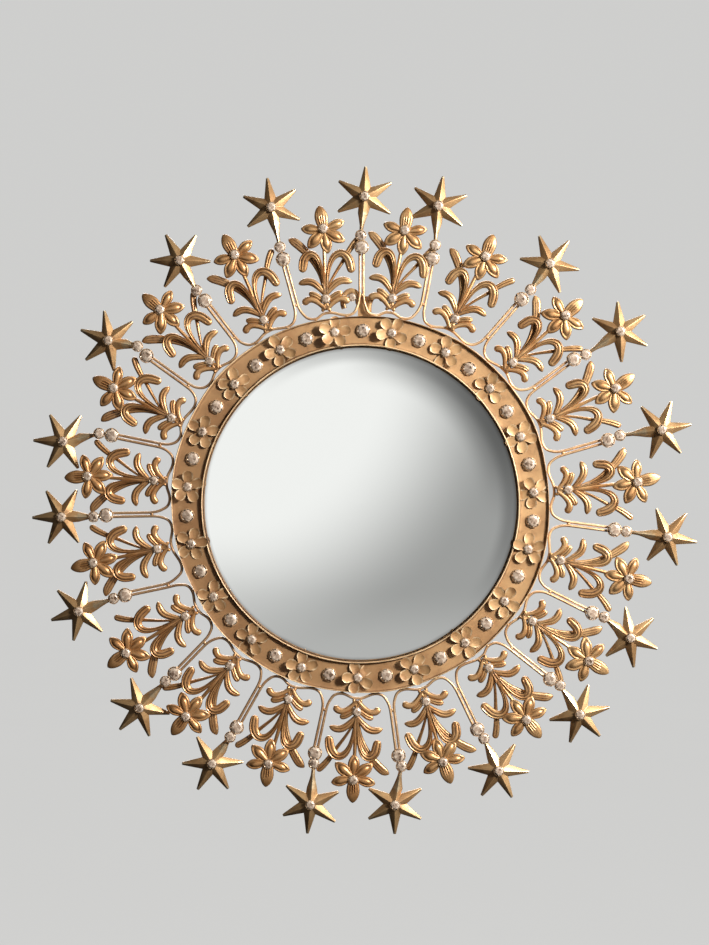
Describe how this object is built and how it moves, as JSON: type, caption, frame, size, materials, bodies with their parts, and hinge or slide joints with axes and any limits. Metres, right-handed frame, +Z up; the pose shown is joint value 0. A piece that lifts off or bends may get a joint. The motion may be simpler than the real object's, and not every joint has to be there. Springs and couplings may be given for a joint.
{
  "type": "wall mirror",
  "caption": "Round convex wall mirror in a shallow gilt tray frame set with clear stones and sheet flowers, ringed by wire stems with stars and cast lily sprays.",
  "frame": {"origin": "centre of the flat back of the back plate, on the wall", "axes": "+Y points into the wall, -Y to the viewer, +Z up and +X to the viewer's right"},
  "size_m": [0.4664, 0.012, 0.4682],
  "materials": {
    "aged_gilt": "aged rosy gilt over cast and sheet metal, bright on high spots and brown in the recesses",
    "dull_gilt": "dull aged gilt on flat sheet",
    "silvered_glass": "silvered convex glass"
  },
  "bodies": {
    "root": {"back_plate": "dull_gilt", "mirror_glass": "silvered_glass", "frame_ring": "aged_gilt", "star_01": "aged_gilt", "star_02": "aged_gilt", "star_03": "aged_gilt", "star_04": "aged_gilt", "star_05": "aged_gilt", "star_06": "aged_gilt", "star_07": "aged_gilt", "star_08": "aged_gilt", "star_09": "aged_gilt", "star_10": "aged_gilt", "star_11": "aged_gilt", "star_12": "aged_gilt", "star_13": "aged_gilt", "star_14": "aged_gilt", "star_15": "aged_gilt", "star_16": "aged_gilt", "star_17": "aged_gilt", "star_18": "aged_gilt", "star_19": "aged_gilt", "spray_01": "aged_gilt", "spray_02": "aged_gilt", "spray_03": "aged_gilt", "spray_04": "aged_gilt", "spray_05": "aged_gilt", "spray_06": "aged_gilt", "spray_07": "aged_gilt", "spray_08": "aged_gilt", "spray_09": "aged_gilt", "spray_10": "aged_gilt", "spray_11": "aged_gilt", "spray_12": "aged_gilt", "spray_13": "aged_gilt", "spray_14": "aged_gilt", "spray_15": "aged_gilt", "spray_16": "aged_gilt", "spray_17": "aged_gilt", "spray_18": "aged_gilt", "spray_19": "aged_gilt", "wire_01": "aged_gilt", "wire_02": "aged_gilt", "wire_03": "aged_gilt", "wire_04": "aged_gilt", "wire_05": "aged_gilt", "wire_06": "aged_gilt", "wire_07": "aged_gilt", "wire_08": "aged_gilt", "wire_09": "aged_gilt", "wire_10": "aged_gilt", "wire_11": "aged_gilt", "wire_12": "aged_gilt", "wire_13": "aged_gilt", "wire_14": "aged_gilt", "wire_15": "aged_gilt", "wire_16": "aged_gilt", "wire_17": "aged_gilt", "wire_18": "aged_gilt", "wire_19": "aged_gilt"}
  },
  "joints": []
}
